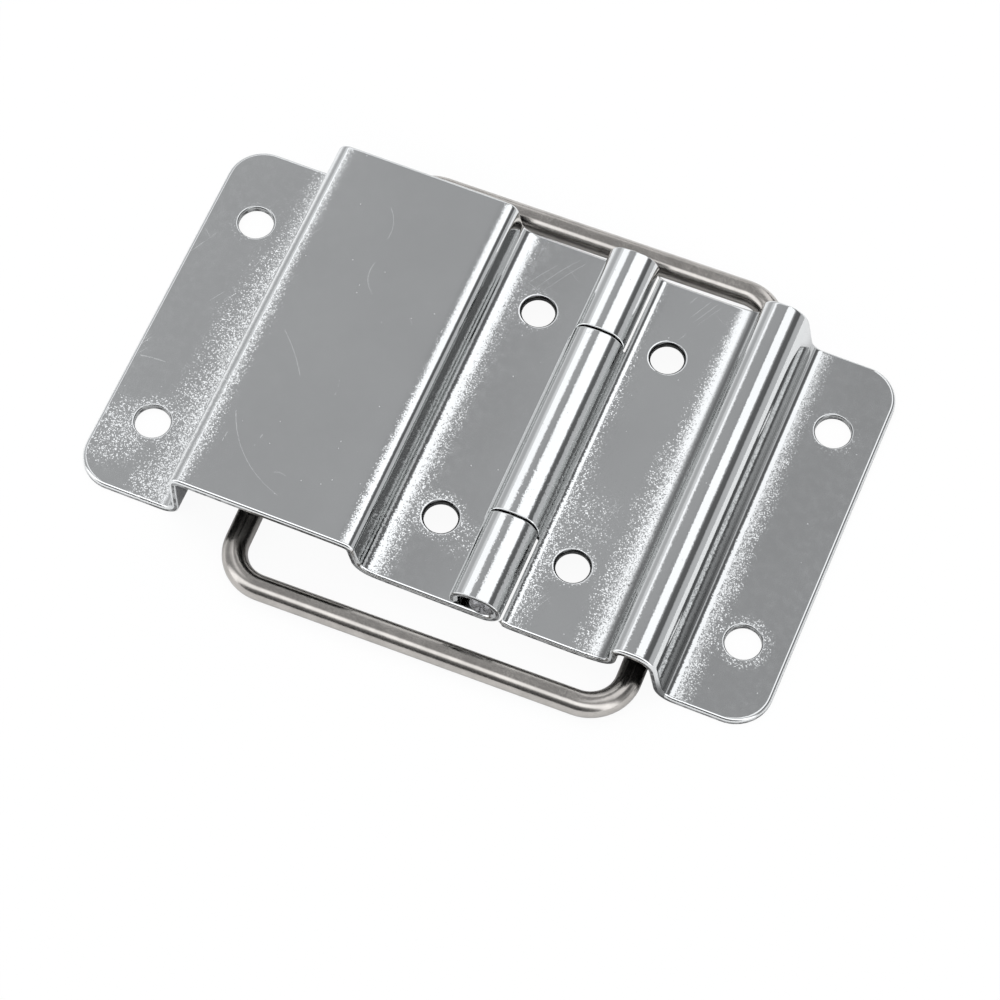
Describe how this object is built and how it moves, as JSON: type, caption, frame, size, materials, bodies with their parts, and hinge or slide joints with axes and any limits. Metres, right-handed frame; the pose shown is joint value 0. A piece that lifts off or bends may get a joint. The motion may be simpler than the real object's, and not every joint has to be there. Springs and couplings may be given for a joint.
{
  "type": "lid stay hinge",
  "caption": "Folded sheet metal case hinge with rolled eyes on a plain pin and a closed wire ring that runs under both leaves as a lid stay.",
  "frame": {"origin": "on the surface that both outer flanges lie on, midway between the two inner hole rows and half way along the leaves", "axes": "+X from the wide leaf to the narrow leaf, +Y along the hinge pin, +Z away from the surface the hinge is fixed to"},
  "size_m": [0.1049, 0.0746, 0.0112],
  "materials": {
    "leaf_plating": "bright zinc plating with fine scratches",
    "wire_plating": "satin nickel plating",
    "pin_steel": "drawn, ends staked"
  },
  "bodies": {
    "wide": {"wide_leaf": "leaf_plating", "hinge_pin": "pin_steel"},
    "narrow": {"narrow_leaf": "leaf_plating"},
    "ring": {"stay_ring": "wire_plating"}
  },
  "joints": [
    {"name": "leaf_fold", "type": "hinge", "parent": "wide", "child": "narrow", "pos_m": [0.00095, 0, 0.00685], "axis": [0, -1, 0], "range_deg": [0, 80]},
    {"name": "ring_swing", "type": "hinge", "parent": "narrow", "child": "ring", "pos_m": [0.02265, -0.00068, 0.00195], "axis": [0.0209, -0.9998, 0], "range_deg": [-53.8, 0]}
  ],
  "couplings": [
    {"joint": "ring_swing", "follows": "leaf_fold", "ratio": -0.67}
  ]
}
